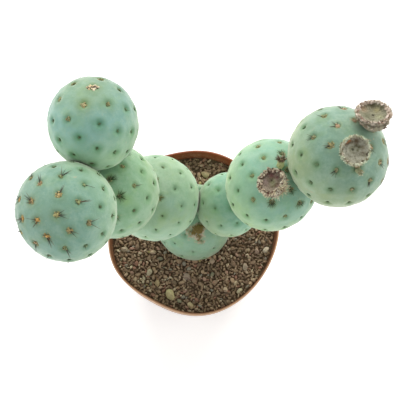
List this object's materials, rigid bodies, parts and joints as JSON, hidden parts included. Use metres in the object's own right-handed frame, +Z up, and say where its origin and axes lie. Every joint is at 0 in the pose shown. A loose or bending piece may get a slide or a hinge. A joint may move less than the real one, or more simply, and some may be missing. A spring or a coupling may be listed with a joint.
{
  "type": "potted tephrocactus",
  "caption": "Forked chain of ball-shaped cactus stems with areoles, short spines and dry cup fruits, standing in a thin round plastic pot of grit.",
  "frame": {"origin": "middle of the pot's underside, on the surface that the pot stands on", "axes": "+Z up along the pot's axis; +X towards the arm of the stem that carries the dry fruits at its tip, -X towards the arm that forks; -Y towards the picture's lower edge"},
  "size_m": [0.192, 0.1047, 0.2317],
  "materials": {
    "stem_skin": "waxy grey-green skin with darker sunken areoles, tan wool and thin brown spines",
    "dry_fruit": "dry, dull grey-brown husk with a ragged bristly rim",
    "pot_plastic": "thin terracotta-brown plastic, satin, lightly scuffed",
    "grit": null
  },
  "bodies": {
    "root": {"pot": "pot_plastic", "soil": "grit", "base_segment": "stem_skin", "left_segment_1": "stem_skin", "left_segment_2": "stem_skin", "left_segment_3": "stem_skin", "left_segment_4": "stem_skin", "right_segment_1": "stem_skin", "right_segment_2": "stem_skin", "right_segment_3": "stem_skin", "dried_fruit_1": "dry_fruit", "dried_fruit_2": "dry_fruit", "dried_fruit_3": "dry_fruit", "dried_bud_1": "dry_fruit", "dried_bud_2": "dry_fruit"}
  },
  "joints": []
}
